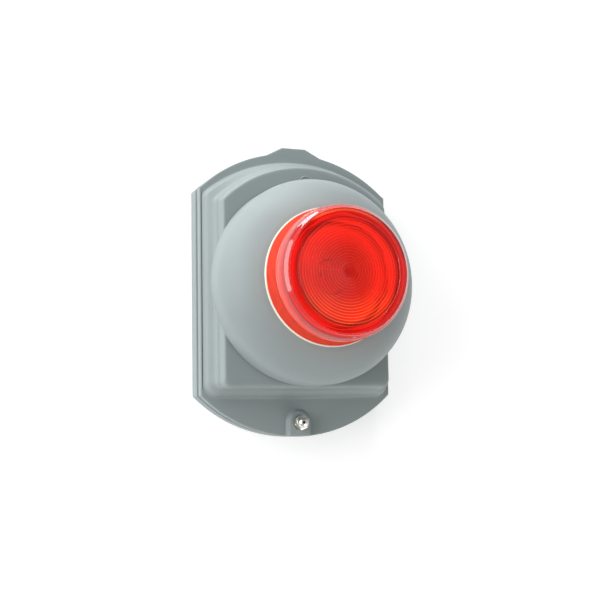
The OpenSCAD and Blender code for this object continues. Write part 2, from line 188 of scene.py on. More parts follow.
def cut(piece, cutters, smooth=40):
    """Takes the closed shapes in cutters out of piece."""
    verts, faces = [], []
    for v, f in cutters:
        faces += [tuple(i + len(verts) for i in face) for face in f]
        verts += v
    tool = new_piece(piece.name + "_tool", verts, faces)
    modifier = piece.modifiers.new("cut", "BOOLEAN")
    modifier.operation, modifier.object, modifier.solver = "DIFFERENCE", tool, "EXACT"
    graph = bpy.context.evaluated_depsgraph_get()
    result = bpy.data.meshes.new_from_object(piece.evaluated_get(graph))
    piece.modifiers.clear()
    old = piece.data
    piece.data = result
    result.name = old.name
    bpy.data.meshes.remove(old)
    bpy.data.meshes.remove(tool.data)
    tidy_normals(piece, smooth)


# ---------------------------------------------------------------- outlines of plate and cover

ARC_STEPS, CORNER_STEPS = 90, 14


def ray_angles():
    """Directions from the dome's axis at which outlines are sampled, finer at corners and tab."""
    angles, a = [], 0.0
    while a < 360:
        angles.append(math.radians(a))
        slope = abs((a + 90) % 180 - 90)
        if 38 <= slope < 58:        # the corners
            a += 0.25
        elif 74 <= a < 106:         # the hinge tab
            a += 0.3
        elif slope < 38:            # the straight sides
            a += 2.0
        else:
            a += 0.8
    return angles


RAYS = ray_angles()


class Ring:
    """A closed outline: arched top, straight sides, arched or flat foot, rounded corners."""

    FIELDS = ("half_w", "top_r", "top_up", "foot_r", "foot_up", "corner_top", "corner_foot",
              "tab", "depth")

    def __init__(self, **values):
        for name in self.FIELDS:
            setattr(self, name, values.get(name, 0.0))

    def mix(self, other, t):
        return Ring(**{n: getattr(self, n) * (1 - t) + getattr(other, n) * t for n in self.FIELDS})

    def at(self, depth, grow=0.0, **changes):
        """The same outline at another depth, offset outwards by grow."""
        values = {n: getattr(self, n) for n in self.FIELDS}
        values.update(depth=depth, half_w=self.half_w + grow, top_r=self.top_r + grow,
                      foot_r=self.foot_r + grow, corner_top=max(0.3, self.corner_top + grow),
                      corner_foot=max(0.3, self.corner_foot + grow))
        values.update(changes)
        return Ring(**values)

    def gap(self, other):
        return math.hypot(self.half_w - other.half_w, self.depth - other.depth)

    def corner_at(self, radius, corner):
        """Centre (reach, rise) of a corner's circle and the angle where the arched end meets it."""
        reach = self.half_w - corner
        rise = math.sqrt((radius - corner) ** 2 - reach ** 2)
        return reach, rise, math.atan2(rise, reach)

    def right_side(self):
        """Right-hand half of the outline as (x, up) points, from the top down."""
        reach, rise, turn = self.corner_at(self.top_r, self.corner_top)
        right = []
        for i in range(ARC_STEPS):
            a = math.pi / 2 + (turn - math.pi / 2) * i / ARC_STEPS
            right.append((self.top_r * math.cos(a), self.top_up + self.top_r * math.sin(a)))
        for i in range(CORNER_STEPS + 1):
            a = turn * (1 - i / CORNER_STEPS)
            right.append((reach + self.corner_top * math.cos(a),
                          self.top_up + rise + self.corner_top * math.sin(a)))
        reach, rise, turn = self.corner_at(self.foot_r, self.corner_foot)
        for i in range(CORNER_STEPS):
            a = -turn * i / CORNER_STEPS
            right.append((reach + self.corner_foot * math.cos(a),
                          self.foot_up - rise + self.corner_foot * math.sin(a)))
        for i in range(ARC_STEPS + 1):
            a = -turn + (turn - math.pi / 2) * i / ARC_STEPS
            right.append((self.foot_r * math.cos(a), self.foot_up + self.foot_r * math.sin(a)))
        return right

    def points(self):
        """The outline where it meets each of the RAYS, so that nested outlines never cross."""
        right = self.right_side()
        turns = [-math.atan2(up, x) for x, up in right]
        out = []
        for ray in RAYS:
            dx, dup = abs(math.cos(ray)), math.sin(ray)
            i = min(max(bisect.bisect_left(turns, -math.atan2(dup, dx)), 1), len(right) - 1)
            (x0, up0), (x1, up1) = right[i - 1], right[i]
            t = (x0 * dup - up0 * dx) / ((x0 - x1) * dup - (up0 - up1) * dx)
            x, up = x0 + (x1 - x0) * t, up0 + (up1 - up0) * t
            out.append((math.copysign(x, math.cos(ray)), self.with_tab(x, up), self.depth))
        return out

    def with_tab(self, x, up):
        if not self.tab or up < 0:
            return up
        inset = HALF_W - self.half_w
        flat = TAB_TOP - inset
        slope = flat - (abs(x) - TAB_HALF_W + 0.6 * inset) * TAB_SLOPE
        return max(up, min(flat, slope))


def flat_foot(foot):
    """Centre of the very large circle that stands for a straight foot at this height."""
    return {"foot_r": FLAT_R, "foot_up": foot + FLAT_R}


def rounded(keys, steps=5):
    """Walks along (ring, bend) keys and swaps the edge at each for a curve of that size."""
    rings = [keys[0][0]]
    for (before, _), (ring, bend), (after, _) in zip(keys, keys[1:], keys[2:]):
        if not bend:
            rings.append(ring)
            continue
        start = ring.mix(before, min(0.49, bend / ring.gap(before)))
        end = ring.mix(after, min(0.49, bend / ring.gap(after)))
        for i in range(steps + 1):
            t = i / steps
            rings.append(start.mix(ring, t).mix(ring.mix(end, t), t))
    rings.append(keys[-1][0])
    return rings


def circle_like(loop, radius, depth):
    """A circle with one point on the ray through each point of loop."""
    out = []
    for x, up, _ in loop:
        a = math.atan2(up, x)
        out.append((radius * math.cos(a), radius * math.sin(a), depth))
    return out


PLATE = Ring(half_w=HALF_W, top_r=PLATE_R, top_up=PLATE_UP, foot_r=PLATE_R, foot_up=PLATE_UP,
             corner_top=1.5, corner_foot=1.5)

# The cover's steps, from the rim forward: outline and depth at each edge
STEP_A_FOOT = Ring(half_w=72.8, top_r=110.6, top_up=-15, corner_top=8, corner_foot=10,
                   depth=RIM_FRONT, **flat_foot(-82.0))
STEP_A_TOP = Ring(half_w=71.2, top_r=109, top_up=-15, corner_top=7, corner_foot=9, depth=28.5,
                  **flat_foot(-79.6))
STEP_B_FOOT = Ring(half_w=67.4, top_r=93, top_up=-2, corner_top=5, corner_foot=6.5, depth=31.1,
                   **flat_foot(-76.8))
STEP_B_TOP = Ring(half_w=66.6, top_r=92, top_up=-2, corner_top=5, corner_foot=6, depth=36.8,
                  **flat_foot(-76.2))
STEP_C_FOOT = Ring(half_w=65.2, top_r=90.6, top_up=-2, corner_top=4, corner_foot=5.5, depth=37.8,
                   **flat_foot(-75.9))
STEP_C_TOP = Ring(half_w=64.4, top_r=89.8, top_up=-2, corner_top=4, corner_foot=5.5, depth=FACE,
                  **flat_foot(-75.3))
FACE_EDGE = Ring(half_w=60, top_r=85.4, top_up=-2, corner_top=2, corner_foot=3, depth=FACE,
                 **flat_foot(-66.0))

# The hollow behind each step, as in the CAD shell
HOLLOW_A = Ring(half_w=69.5, top_r=106.5, top_up=-15, corner_top=1, corner_foot=6.5,
                **flat_foot(-78.0))
HOLLOW_B = Ring(half_w=64.4, top_r=89.5, top_up=-2, corner_top=1, corner_foot=3.5,
                **flat_foot(-74.0))
HOLLOW_C = Ring(half_w=62.3, top_r=87.5, top_up=-2, corner_top=1, corner_foot=3,
                **flat_foot(-73.0))


# ---------------------------------------------------------------- materials

# Painted glow: the lens and the reflector dish glow, though neither is a lamp
LENS_PAINTED_GLOW = 0.16
DISH_PAINTED_GLOW = 0.75
WALL_GLOW = 0.41
SHELL_COLOUR = (0.275, 0.315, 0.315)
# Painted highlights, reflections and shade on the lens, and a painted glint on the dish
PAINTED_RING_GLINT = (0.98, 0.070, 0.030)
PAINTED_LOW_GLINT = (1.0, 0.34, 0.05)
PAINTED_SHEEN = (0.80, 0.12, 0.095)
PAINTED_DARK_REFLECTION = (0.36, 0.004, 0.004)
SEAM_SHADE_PAINT = (0.08, 0.002, 0.002)
PAINTED_TOP_HIGHLIGHT = (1.0, 0.17, 0.03)
PAINTED_DISH_GLINT = (1.0, 1.0, 0.80)
SKIRT_RED = (0.60, 0.052, 0.030)
TENT_HOLE = (0.03, 0.03, 0.03)
TENT_FRONT = (0.50, 0.52, 0.53)
TENT_SIDE = (0.62, 0.65, 0.66)


def material(name, rough=0.5, metallic=0.0, **sockets):
    mat = bpy.data.materials.new(name)
    mat.use_nodes = True
    shader = mat.node_tree.nodes["Principled BSDF"]
    shader.inputs["Roughness"].default_value = rough
    shader.inputs["Metallic"].default_value = metallic
    for label, value in sockets.items():
        shader.inputs[label.replace("_", " ")].default_value = value
    return mat, mat.node_tree, shader


def noise(tree, scale, detail=2.0):
    coord = tree.nodes.new("ShaderNodeTexCoord")
    tex = tree.nodes.new("ShaderNodeTexNoise")
    tex.inputs["Scale"].default_value = scale
    tex.inputs["Detail"].default_value = detail
    tree.links.new(coord.outputs["Object"], tex.inputs["Vector"])
    return tex.outputs["Fac"]


def ramp(tree, source, stops):
    """A colour ramp along source, with (position, colour) stops."""
    node = tree.nodes.new("ShaderNodeValToRGB")
    while len(node.color_ramp.elements) < len(stops):
        node.color_ramp.elements.new(0.5)
    for element, (position, colour) in zip(node.color_ramp.elements, stops):
        element.position = position
        element.color = (*colour, 1)
    tree.links.new(source, node.inputs["Fac"])
    return node.outputs["Color"]


def shade(colour, factor):
    return tuple(min(1.0, c * factor) for c in colour)


def mottled(tree, shader, colour, scale, spread):
    """Base colour that drifts a little lighter and darker over the surface."""
    stops = [(0.3, shade(colour, 1 - spread)), (0.7, shade(colour, 1 + spread))]
    tone = ramp(tree, noise(tree, scale, 3.0), stops)
    tree.links.new(tone, shader.inputs["Base Color"])
    return tone


def raised(tree, shader, height, strength, distance, before=None):
    """Bumps the surface by a height output, on top of the normal output given as before."""
    bump = tree.nodes.new("ShaderNodeBump")
    bump.inputs["Strength"].default_value = strength
    bump.inputs["Distance"].default_value = distance
    tree.links.new(height, bump.inputs["Height"])
    if before:
        tree.links.new(before, bump.inputs["Normal"])
    tree.links.new(bump.outputs["Normal"], shader.inputs["Normal"])
    return bump.outputs["Normal"]


def grain(tree, shader, scale, strength, distance=0.00005, before=None):
    return raised(tree, shader, noise(tree, scale), strength, distance, before)


def rough_drift(tree, shader, low, high, scale=120):
    """Roughness that drifts between low and high over the surface."""
    limits = tree.nodes.new("ShaderNodeMapRange")
    limits.inputs["To Min"].default_value = low
    limits.inputs["To Max"].default_value = high
    tree.links.new(noise(tree, scale, 3.0), limits.inputs["Value"])
    tree.links.new(limits.outputs["Result"], shader.inputs["Roughness"])


def plain(name, colour, low, high, scale=60, spread=0.08, bump=0.15, metallic=0.0, **sockets):
    """A moulded, plated or painted finish: drifting tone, drifting roughness and a fine grain."""
    mat, tree, shader = material(name, metallic=metallic, **sockets)
    mottled(tree, shader, colour, scale, spread)
    rough_drift(tree, shader, low, high)
    grain(tree, shader, 900, bump)
    return mat


def shell_material():
    mat, tree, shader = material("shell_grey_moulded", Specular_IOR_Level=0.4)
    mottled(tree, shader, SHELL_COLOUR, 22, 0.025)
    rough_drift(tree, shader, 0.46, 0.56, 60)
    soft = grain(tree, shader, 260, 0.10, 0.00010)
    grain(tree, shader, 1500, 0.12, 0.00003, before=soft)
    return mat


def maths(tree, operation, *values):
    """A Math node; each value is a number or another node's output."""
    node = tree.nodes.new("ShaderNodeMath")
    node.operation = operation
    for socket, value in zip(node.inputs, values):
        if hasattr(value, "links"):
            tree.links.new(value, socket)
        else:
            socket.default_value = value
    return node.outputs[0]


def times(tree, first, *others):
    """The product of its values, as a chain of Math nodes."""
    for other in others:
        first = maths(tree, "MULTIPLY", first, other)
    return first


def place_in_mm(tree):
    """The shaded point's x, up and depth in millimetres, and its distance from the dome's axis."""
    coord = tree.nodes.new("ShaderNodeTexCoord")
    split = tree.nodes.new("ShaderNodeSeparateXYZ")
    tree.links.new(coord.outputs["Object"], split.inputs[0])
    x = times(tree, split.outputs["X"], 1000)
    up = times(tree, split.outputs["Z"], 1000)
    depth = times(tree, split.outputs["Y"], -1000)
    squares = maths(tree, "ADD", maths(tree, "POWER", x, 2), maths(tree, "POWER", up, 2))
    return x, up, depth, maths(tree, "SQRT", squares)


def remap(tree, source, low, high, to_low=0.0, to_high=1.0):
    """A smooth step from to_low where source is low to to_high where it is high."""
    node = tree.nodes.new("ShaderNodeMapRange")
    node.interpolation_type = "SMOOTHSTEP"
    limits = {"From Min": low, "From Max": high, "To Min": to_low, "To Max": to_high}
    for label, value in limits.items():
        node.inputs[label].default_value = value
    tree.links.new(source, node.inputs["Value"])
    return node.outputs["Result"]


def ring_mask(tree, radius, rise, fall):
    """1 between two radii: rise and fall are the (from, to) radii of its inner and outer edge."""
    return times(tree, remap(tree, radius, *rise), remap(tree, radius, fall[1], fall[0]))


def wander(tree, scale, reach):
    """A drift of up to reach / 2 millimetres either way."""
    return times(tree, maths(tree, "SUBTRACT", noise(tree, scale, 3.0), 0.5), reach)


def heading(tree, x, up, radius, along_x, along_up):
    """How far the point lies towards the direction (along_x, along_up) from the dome's axis."""
    reach = maths(tree, "ADD", times(tree, x, along_x), times(tree, up, along_up))
    return maths(tree, "DIVIDE", reach, radius)


def blend(tree, fac, first, second):
    """Mixes two colours; each is a colour output or an (r, g, b) value."""
    node = tree.nodes.new("ShaderNodeMix")
    node.data_type = "RGBA"
    tree.links.new(fac, node.inputs["Factor"])
    for label, value in (("A", first), ("B", second)):
        socket = next(i for i in node.inputs if i.name == label and i.type == "RGBA")
        if hasattr(value, "links"):
            tree.links.new(value, socket)
        else:
            socket.default_value = (*value, 1)
    return next(o for o in node.outputs if o.type == "RGBA")


def lens_face_material():
    """Clear red plastic: a glossy outside over ring prisms, with painted highlights on the rings,
    painted reflection and shade of what lies behind, and a painted glow.
    """
    mat, tree, shader = material("clear_red_lens", IOR=1.49, Coat_Weight=0.8, Coat_Roughness=0.02,
                                 Coat_IOR=1.5, Emission_Strength=LENS_PAINTED_GLOW)
    x, up, depth, radius = place_in_mm(tree)
    uneven = maths(tree, "ADD", radius, wander(tree, 22, 5.0))
    # Rings: a saw-tooth in the radius, flat in the middle and at the rim
    saw = maths(tree, "FRACT", maths(tree, "DIVIDE", radius, RIDGE_PITCH))
    ringed = ring_mask(tree, radius, (3.0, 6.0), (37.0, 38.5))
    front = remap(tree, depth, LENS_HI[2] - 1.2, LENS_HI[2] - 0.4)
    # Painted highlight: the ring crests are tinted brighter where they catch the light
    painted_glint_mask = times(tree, remap(tree, saw, 0.55, 0.95), ringed, front)
    # Painted shade and reflection: the middle darkened for the shaded inside of the base, the ring
    # round it lightened as a painted reflection of the bright reflector
    body = ramp(tree, maths(tree, "DIVIDE", uneven, 50), [
        (0.0, (0.74, 0.034, 0.022)), (0.30, (0.74, 0.026, 0.015)), (0.46, (0.86, 0.026, 0.014)),
        (0.66, (0.88, 0.026, 0.013)), (0.74, (0.40, 0.006, 0.005)), (0.77, (0.74, 0.014, 0.010)),
        (0.90, (0.76, 0.018, 0.012))])
    # Painted highlight: orange on the crests of the lower rings
    glint_low_side = times(tree, remap(tree, up, -8, -26), remap(tree, radius, 16, 24))
    bright = blend(tree, glint_low_side, PAINTED_RING_GLINT, PAINTED_LOW_GLINT)
    tone = blend(tree, times(tree, painted_glint_mask, 0.95), body, bright)
    # Painted reflection: a pale sheen at the foot of the side wall, and a dark painted reflection
    # as a line under its shoulder
    side_wall = remap(tree, radius, 44.8, 45.9)
    painted_sheen = times(tree, side_wall, remap(tree, depth, 116.5, 107.5), 0.85)
    tone = blend(tree, painted_sheen, tone, PAINTED_SHEEN)
    tone = blend(tree, times(tree, side_wall, remap(tree, depth, 114.5, 117.5)), tone, PAINTED_DARK_REFLECTION)
    # Between bevel and face: painted shade towards the upper right, and an orange painted highlight
    # at the top
    upper_right = remap(tree, heading(tree, x, up, radius, 0.77, 0.64), 0.86, 0.93)
    seam_shade_mask = times(tree, ring_mask(tree, radius, (41.9, 42.5), (43.4, 43.9)), upper_right)
    tone = blend(tree, seam_shade_mask, tone, SEAM_SHADE_PAINT)
    top = remap(tree, up, 31, 38)
    top_highlight_mask = times(tree, ring_mask(tree, radius, (40.6, 41.4), (42.0, 42.6)), top)
    tone = blend(tree, top_highlight_mask, tone, PAINTED_TOP_HIGHLIGHT)
    clear = remap(tree, radius, 45.9, 44.6, 0.15, 0.85)
    tree.links.new(clear, shader.inputs["Transmission Weight"])
    tree.links.new(tone, shader.inputs["Base Color"])
    # Painted glow: the painted tone also lights itself
    tree.links.new(tone, shader.inputs["Emission Color"])
    rough_drift(tree, shader, 0.02, 0.06, 90)
    raised(tree, shader, times(tree, saw, ringed, front), 0.5, 0.0004)
    return mat


def reflector_material():
    """Bright metallised dish with painted reflection bands; its faint painted glow is the light
    that gathers behind the clear lens.
    """
    mat, tree, shader = material("metallised_reflector", metallic=0.6,
                                 Emission_Strength=DISH_PAINTED_GLOW)
    x, up, _, radius = place_in_mm(tree)
    uneven = maths(tree, "ADD", radius, wander(tree, 45, 6.0))
    # Painted reflection: light and dark bands across the dish
    painted_reflection_bands = ramp(tree, maths(tree, "DIVIDE", uneven, 50), [
        (0.30, (0.34, 0.30, 0.28)), (0.50, (0.52, 0.48, 0.45)), (0.64, (0.80, 0.77, 0.72)),
        (0.70, (0.30, 0.24, 0.22)), (0.73, (0.16, 0.12, 0.11)), (0.75, (0.92, 0.90, 0.85))])
    # Painted glint at the lower right of the dish, on the lamp side
    lower_right = remap(tree, heading(tree, x, up, radius, 0.42, -0.91), 0.80, 0.95)
    glint = times(tree, ring_mask(tree, radius, (31, 32.2), (34.2, 35.4)), lower_right)
    tone = blend(tree, glint, painted_reflection_bands, PAINTED_DISH_GLINT)
    tree.links.new(tone, shader.inputs["Base Color"])
    tree.links.new(tone, shader.inputs["Emission Color"])
    rough_drift(tree, shader, 0.25, 0.4)
    return mat


def lens_skirt_material():
    """Frosted foot of the lens: no gloss at all, with a little of the lens's painted glow."""
    mat, tree, shader = material("frosted_red_skirt", Specular_IOR_Level=0.0,
                                 Emission_Strength=LENS_PAINTED_GLOW * 0.4)
    tone = mottled(tree, shader, SKIRT_RED, 160, 0.08)
    tree.links.new(tone, shader.inputs["Emission Color"])
    rough_drift(tree, shader, 0.42, 0.55, 90)
    grain(tree, shader, 700, 0.35, 0.00004)
    return mat


MATERIALS = {
    "shell_grey": shell_material(),
    "steel": plain("zinc_steel", (0.62, 0.62, 0.6), 0.25, 0.4, metallic=1.0),
    "nut_chrome": plain("bright_plate", (0.80, 0.77, 0.72), 0.06, 0.12, spread=0.03, bump=0.03,
                        metallic=1.0),
    "rubber_black": plain("black_rubber", (0.02, 0.02, 0.021), 0.6, 0.8),
    "board_green": plain("solder_mask", (0.02, 0.13, 0.06), 0.25, 0.4, scale=200, spread=0.2),
    "terminal_green": plain("terminal_plastic", (0.05, 0.26, 0.12), 0.35, 0.5),
    "winding_amber": plain("winding_tape", (0.5, 0.30, 0.06), 0.3, 0.5),
    "capacitor_blue": plain("shrink_sleeve", (0.03, 0.07, 0.26), 0.15, 0.3),
    "plastic_black": plain("black_plastic", (0.02, 0.02, 0.02), 0.4, 0.55),
    "plastic_white": plain("white_plastic", (0.72, 0.70, 0.64), 0.35, 0.5),
    "switch_red": plain("red_plastic", (0.36, 0.02, 0.02), 0.35, 0.5),
    "trimmer_blue": plain("trimmer_plastic", (0.03, 0.1, 0.42), 0.35, 0.5),
    "driver_paint": plain("driver_enamel", (0.06, 0.065, 0.07), 0.3, 0.45),
    "ferrite": plain("ground_ferrite", (0.04, 0.04, 0.043), 0.5, 0.65),
    "diaphragm_film": plain("phenolic_film", (0.45, 0.30, 0.13), 0.35, 0.5),
    "copper": plain("copper_winding", (0.70, 0.28, 0.12), 0.3, 0.45, metallic=1.0),
    "horn_grey": plain("horn_plastic", (0.20, 0.22, 0.22), 0.4, 0.55),
    "ring_cream": plain("cream_plastic", (0.86, 0.82, 0.70), 0.35, 0.5, spread=0.03),
    "tube_glass": plain("tube_glass", (0.9, 0.93, 0.95), 0.02, 0.05, Transmission_Weight=0.9,
                        IOR=1.46),
    "reflector_bright": reflector_material(),
    "lens_red": lens_face_material(),
}
FROSTED = lens_skirt_material()


def finish_nodes():
    """Gives every CAD node the material of its slot."""
    for entry in frame["record"]["subparts"]:
        node = frame["nodes"][entry["node"]]
        node.data.materials.clear()
        node.data.materials.append(MATERIALS[entry["material_slot"]])


def dress(piece, body, slot, *nodes, extra=None):
    """Gives a piece its material, its body and the CAD nodes it stands for."""
    piece.data.materials.clear()
    piece.data.materials.append(MATERIALS[slot])
    if extra:
        piece.data.materials.append(extra)
    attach(piece, body)
    if nodes:
        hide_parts(*nodes)


# ---------------------------------------------------------------- cover

def build_cover():
    """The stepped cover: one skin out over the steps, through the sound hole and back inside."""
    seal_out, seal_in, seal_front = 2.6, 4.1, COVER_BACK + 1.5
    edge = 1.8
    back_edge = 0.6
    skirt = [
        (PLATE.at(COVER_BACK + back_edge, tab=1), 0),
        (PLATE.at(RIM_FRONT, tab=1), edge),
        (PLATE.at(RIM_FRONT, -edge, tab=1), 0),
    ]
    steps = [
        (STEP_A_FOOT.at(RIM_FRONT, 0.8, top_r=113.6, foot_r=FLAT_R + 3), 0),
        (STEP_A_FOOT, 0.8),
        (STEP_A_TOP, 1.2),
        (STEP_B_FOOT, 1.2),
        (STEP_B_TOP, 0.6),
        (STEP_C_FOOT, 0.6),
        (STEP_C_TOP, 2.2),
        (FACE_EDGE, 0),
    ]
    outer = [ring.points() for ring in rounded(skirt, 6) + rounded(steps, 6)]
    rim = outer[-1]
    hole = [circle_like(rim, SOUND_HOLE_R, depth) for depth in (FACE, FACE - WALL)]
    inner = [
        HOLLOW_C.at(FACE - WALL), HOLLOW_C.at(34.8),
        HOLLOW_B.at(34.8), HOLLOW_B.at(27),
        HOLLOW_A.at(27), HOLLOW_A.at(COVER_BACK),
        PLATE.at(COVER_BACK, -seal_in), PLATE.at(seal_front, -seal_in),
        PLATE.at(seal_front, -seal_out), PLATE.at(COVER_BACK, -seal_out),
        PLATE.at(COVER_BACK, -back_edge, tab=1),
    ]
    loops = outer + hole + [ring.points() for ring in inner]
    cover = loft("cover_casting", loops, closed=True, smooth=35)
    # Slots round the two hinge lugs, the hinge bar's bore and the stud's hole
    _, axis_up, axis_depth = middle("hinge_bar")
    slot_foot, slot_front = axis_up - 2.4, axis_depth + 2.4
    slot_top = slot_foot + 10
    bore_left, bore_right = (-10, axis_up, axis_depth), (10, axis_up, axis_depth)
    cut(cover, [
        box_between((9.8, slot_foot, COVER_BACK - 1), (14.2, slot_top, slot_front)),
        box_between((-14.2, slot_foot, COVER_BACK - 1), (-9.8, slot_top, slot_front)),
        cylinder_between(bore_left, bore_right, 1.5),
        cylinder_between((0, STUD_UP, COVER_BACK - 1), (0, STUD_UP, 30), STUD_HOLE_R),
    ], 35)
    dress(cover, "cover", "shell_grey", "cover_shell")


def build_nut_pad():
    """Raised pad round the stud, open to the rim's foot."""
    washer = 0.8
    pad_front = NUT_LO[2] - washer
    half_w = 8.5
    foot_steps, head_steps = 24, 40
    steps = [  # grow, depth
        (2.0, RIM_FRONT - 0.6), (1.6, RIM_FRONT + 0.05), (0.9, RIM_FRONT + 0.35),
        (0.45, RIM_FRONT + 0.9), (0.25, RIM_FRONT + 1.8), (-0.15, pad_front - 1.3),
        (-0.35, pad_front - 0.6), (-0.8, pad_front - 0.15), (-1.4, pad_front),
    ]
    loops = []
    for grow, depth in steps:
        w = half_w + grow
        inset = 0.02 + max(0.0, (depth - pad_front + 1.2)) ** 2 * 0.8
        r = PLATE_R - inset
        reach = math.asin(w / r)
        foot = []
        for i in range(foot_steps + 1):
            a = -reach + 2 * reach * i / foot_steps
            foot.append((r * math.sin(a), PLATE_UP - r * math.cos(a), depth))
        head = []
        for i in range(head_steps + 1):
            a = math.pi * i / head_steps
            head.append((w * math.cos(a), STUD_UP + w * math.sin(a), depth))
        loops.append(foot + head)
    pad = loft("nut_pad", loops, smooth=50)
    cut(pad, [cylinder_between((0, STUD_UP, 16), (0, STUD_UP, 40), STUD_HOLE_R)], 50)
    dress(pad, "cover", "shell_grey")


def build_cover_trim():
    """The small moulded ring above the dome, and the post that presses the tamper switch."""
    ring_profile = [
        (5.2, FACE - 0.3), (5.1, FACE + 0.15), (4.8, FACE + 0.38),
        (4.4, FACE + 0.38), (4.1, FACE + 0.15), (4.0, FACE - 0.3),
    ]
    ring_up = 76
    dress(revolve("moulded_ring", ring_profile, 64, (0, ring_up)), "cover", "shell_grey")
    x, up, _ = middle("tamper_plunger")
    tip = span("tamper_plunger")[1][2] + 0.3
    under = FACE - WALL
    post_profile = [
        (0, tip), (2.6, tip), (3.0, tip + 0.4), (3.2, 38),
        (4.2, under - 1), (5, under + 0.5), (0, under + 0.5),
    ]
    post = revolve("tamper_post", post_profile, 48, (x, up), closed=False)
    dress(post, "cover", "shell_grey")


# ---------------------------------------------------------------- back plate

def build_back_plate():
    """The back plate's tray, its board posts, the boss of the stud and the cable's collar."""
    floor, rim, neck = PLATE_FLOOR, 11.0, 15.7
    edge = 0.7
    keys = [
        (PLATE.at(0, -1.0), 0),
        (PLATE.at(0), edge),
        (PLATE.at(rim), edge + 0.3),
        (PLATE.at(rim, -1.8), 0.3),
        (PLATE.at(neck, -1.8), 0.3),
        (PLATE.at(neck, -4.5), 0.3),
        (PLATE.at(floor, -4.7), 0.8),
        (PLATE.at(floor, -8), 0),
    ]
    rings = [ring.points() for ring in rounded(keys, 5)]
    plate = loft("back_plate_casting", rings, smooth=35)
    mounts = frame["record"]["mounts"]
    holes = next(m for m in mounts if m["name"] == "mounting_holes")["dims"]
    hole_x, hole_up = holes["spacing_x_mm"] / 2, holes["spacing_y_mm"] / 2
    cutters = [cylinder_between((sx * hole_x, su * hole_up, -1), (sx * hole_x, su * hole_up, 5),
                                holes["hole_r_mm"])
               for sx in (-1, 1) for su in (-1, 1)]
    cable_up, cable_r = middle("cable_grommet")[1], 8
    cutters.append(cylinder_between((0, cable_up, -1), (0, cable_up, 5), cable_r))
    cut(plate, cutters, 35)
    dress(plate, "base", "shell_grey", "back_plate")

    post_profile = [(0, floor - 0.5), (5, floor - 0.5), (4.4, floor + 0.4), (3.8, floor + 1.4),
                    (3.5, 7.8), (3.3, 8), (0, 8)]
    for i, centre in enumerate(((-50, -44), (50, -44), (-50, 44), (50, 44))):
        post = revolve(f"board_post_{i}", post_profile, 48, centre, closed=False)
        dress(post, "base", "shell_grey")
    boss_profile = [(2.4, floor), (2.4, 7.9), (4.7, 7.9), (5, 7.6), (5.2, floor + 0.6),
                    (6, floor - 0.4)]
    dress(revolve("stud_boss", boss_profile, 64, (0, STUD_UP)), "base", "shell_grey")
    collar_profile = [(10.2, floor - 0.4), (10.2, 4.8), (10.4, 5), (11.3, 5), (11.5, 4.8),
                      (11.8, floor + 0.4), (12.4, floor - 0.4)]
    dress(revolve("cable_collar", collar_profile, 96, (0, cable_up)), "base", "shell_grey")


def build_lugs():
    """The two lugs of the back plate that hold the hinge bar."""
    _, up, depth = middle("hinge_bar")
    r, back = 2.1, 9.0
    outline = [(up - r, back), (up + r, back)]
    for i in range(25):
        a = math.pi * i / 24
        outline.append((up + r * math.cos(a), depth + r * math.sin(a)))
    edges = ((0, 0.25), (0.25, 0), (3.75, 0), (4, 0.25))  # x from the lug's left, shrink
    for side, start in (("left", -14.0), ("right", 10.0)):
        loops = []
        for x, shrink in edges:
            flatter, lower = 1 - shrink / r, 1 - shrink / (depth - back)
            loops.append([(start + x, up + (u - up) * flatter, depth + (d - depth) * lower)
                          for u, d in outline])
        dress(loft(f"hinge_lug_{side}", loops, smooth=35), "base", "shell_grey")


# ---------------------------------------------------------------- dome, ring, lens, nut

def build_dome():
    """The hollow dome with its open rim, on four posts."""
    r, back, seat = DOME_HI[0], 47.7, DOME_HI[2]
    side_end, rise, thick = 63.0, 36.0, 2.5
    hole_r = 42.2
    profile = [  # rolled rim with a fine groove, then the straight side
        (r - 1.3, back), (r - 0.5, back + 0.12), (r - 0.1, back + 0.6), (r, back + 1.1), (r, 50.4),
        (r - 0.12, 50.75), (r - 0.42, 50.95), (r - 0.42, 51.15), (r - 0.12, 51.35),
        (r - 0.02, 51.8),
    ]
    profile += [(r, 53 + i * 2) for i in range(5)]
    last = math.degrees(math.asin((seat - 0.5 - side_end) / rise))
    for i in range(49):
        a = math.radians(last * i / 48)
        profile.append((r * math.cos(a), side_end + rise * math.sin(a)))
    profile += [(49.9, seat - 0.15), (49.5, seat), (hole_r + 0.3, seat), (hole_r, seat - 0.3),
                (hole_r, seat - thick)]
    for i in range(24, -1, -1):
        a = math.radians(46 * i / 24)
        profile.append(((r - thick) * math.cos(a), side_end + (rise - thick) * math.sin(a)))
    profile += [(r - thick, back + 0.3), (r - thick + 0.3, back)]
    dome = revolve("dome_casting", profile, 288, smooth=30)
    dress(dome, "cover", "shell_grey", "sound_dome")
    at = 46.7
    post_profile = [(0, FACE), (3.3, FACE), (3.6, FACE + 0.3), (3.7, 70), (3.7, 74), (0, 75)]
    for i, (sx, su) in enumerate(((-1, -1), (-1, 1), (1, -1), (1, 1))):
        post = revolve(f"dome_post_{i}", post_profile, 48, (sx * at, su * at), closed=False)
        dress(post, "cover", "shell_grey")


def build_strobe_ring():
    """The cream ring under the lens, with the pan that holds the strobe's board."""
    r, back, front, low = RING_HI[0], DOME_HI[2], RING_HI[2], RING_LO[2]
    inner, boss, ledge = 38.5, 41.8, 33.0
    gasket_in, gasket_out, gasket_front = 45.7, 48.4, back + 1
    profile = [
        (gasket_in, gasket_front), (gasket_in, back), (boss, back), (boss, low + 0.3),
        (boss - 0.3, low), (ledge, low), (ledge, low + 4), (inner, low + 4), (inner, front),
        (r - 0.5, front), (r - 0.15, front - 0.15), (r, front - 0.5), (r, back + 0.3),
        (r - 0.3, back), (gasket_out, back), (gasket_out, gasket_front),
    ]
    dress(revolve("strobe_ring", profile, 256, smooth=35), "cover", "ring_cream", "strobe_base")


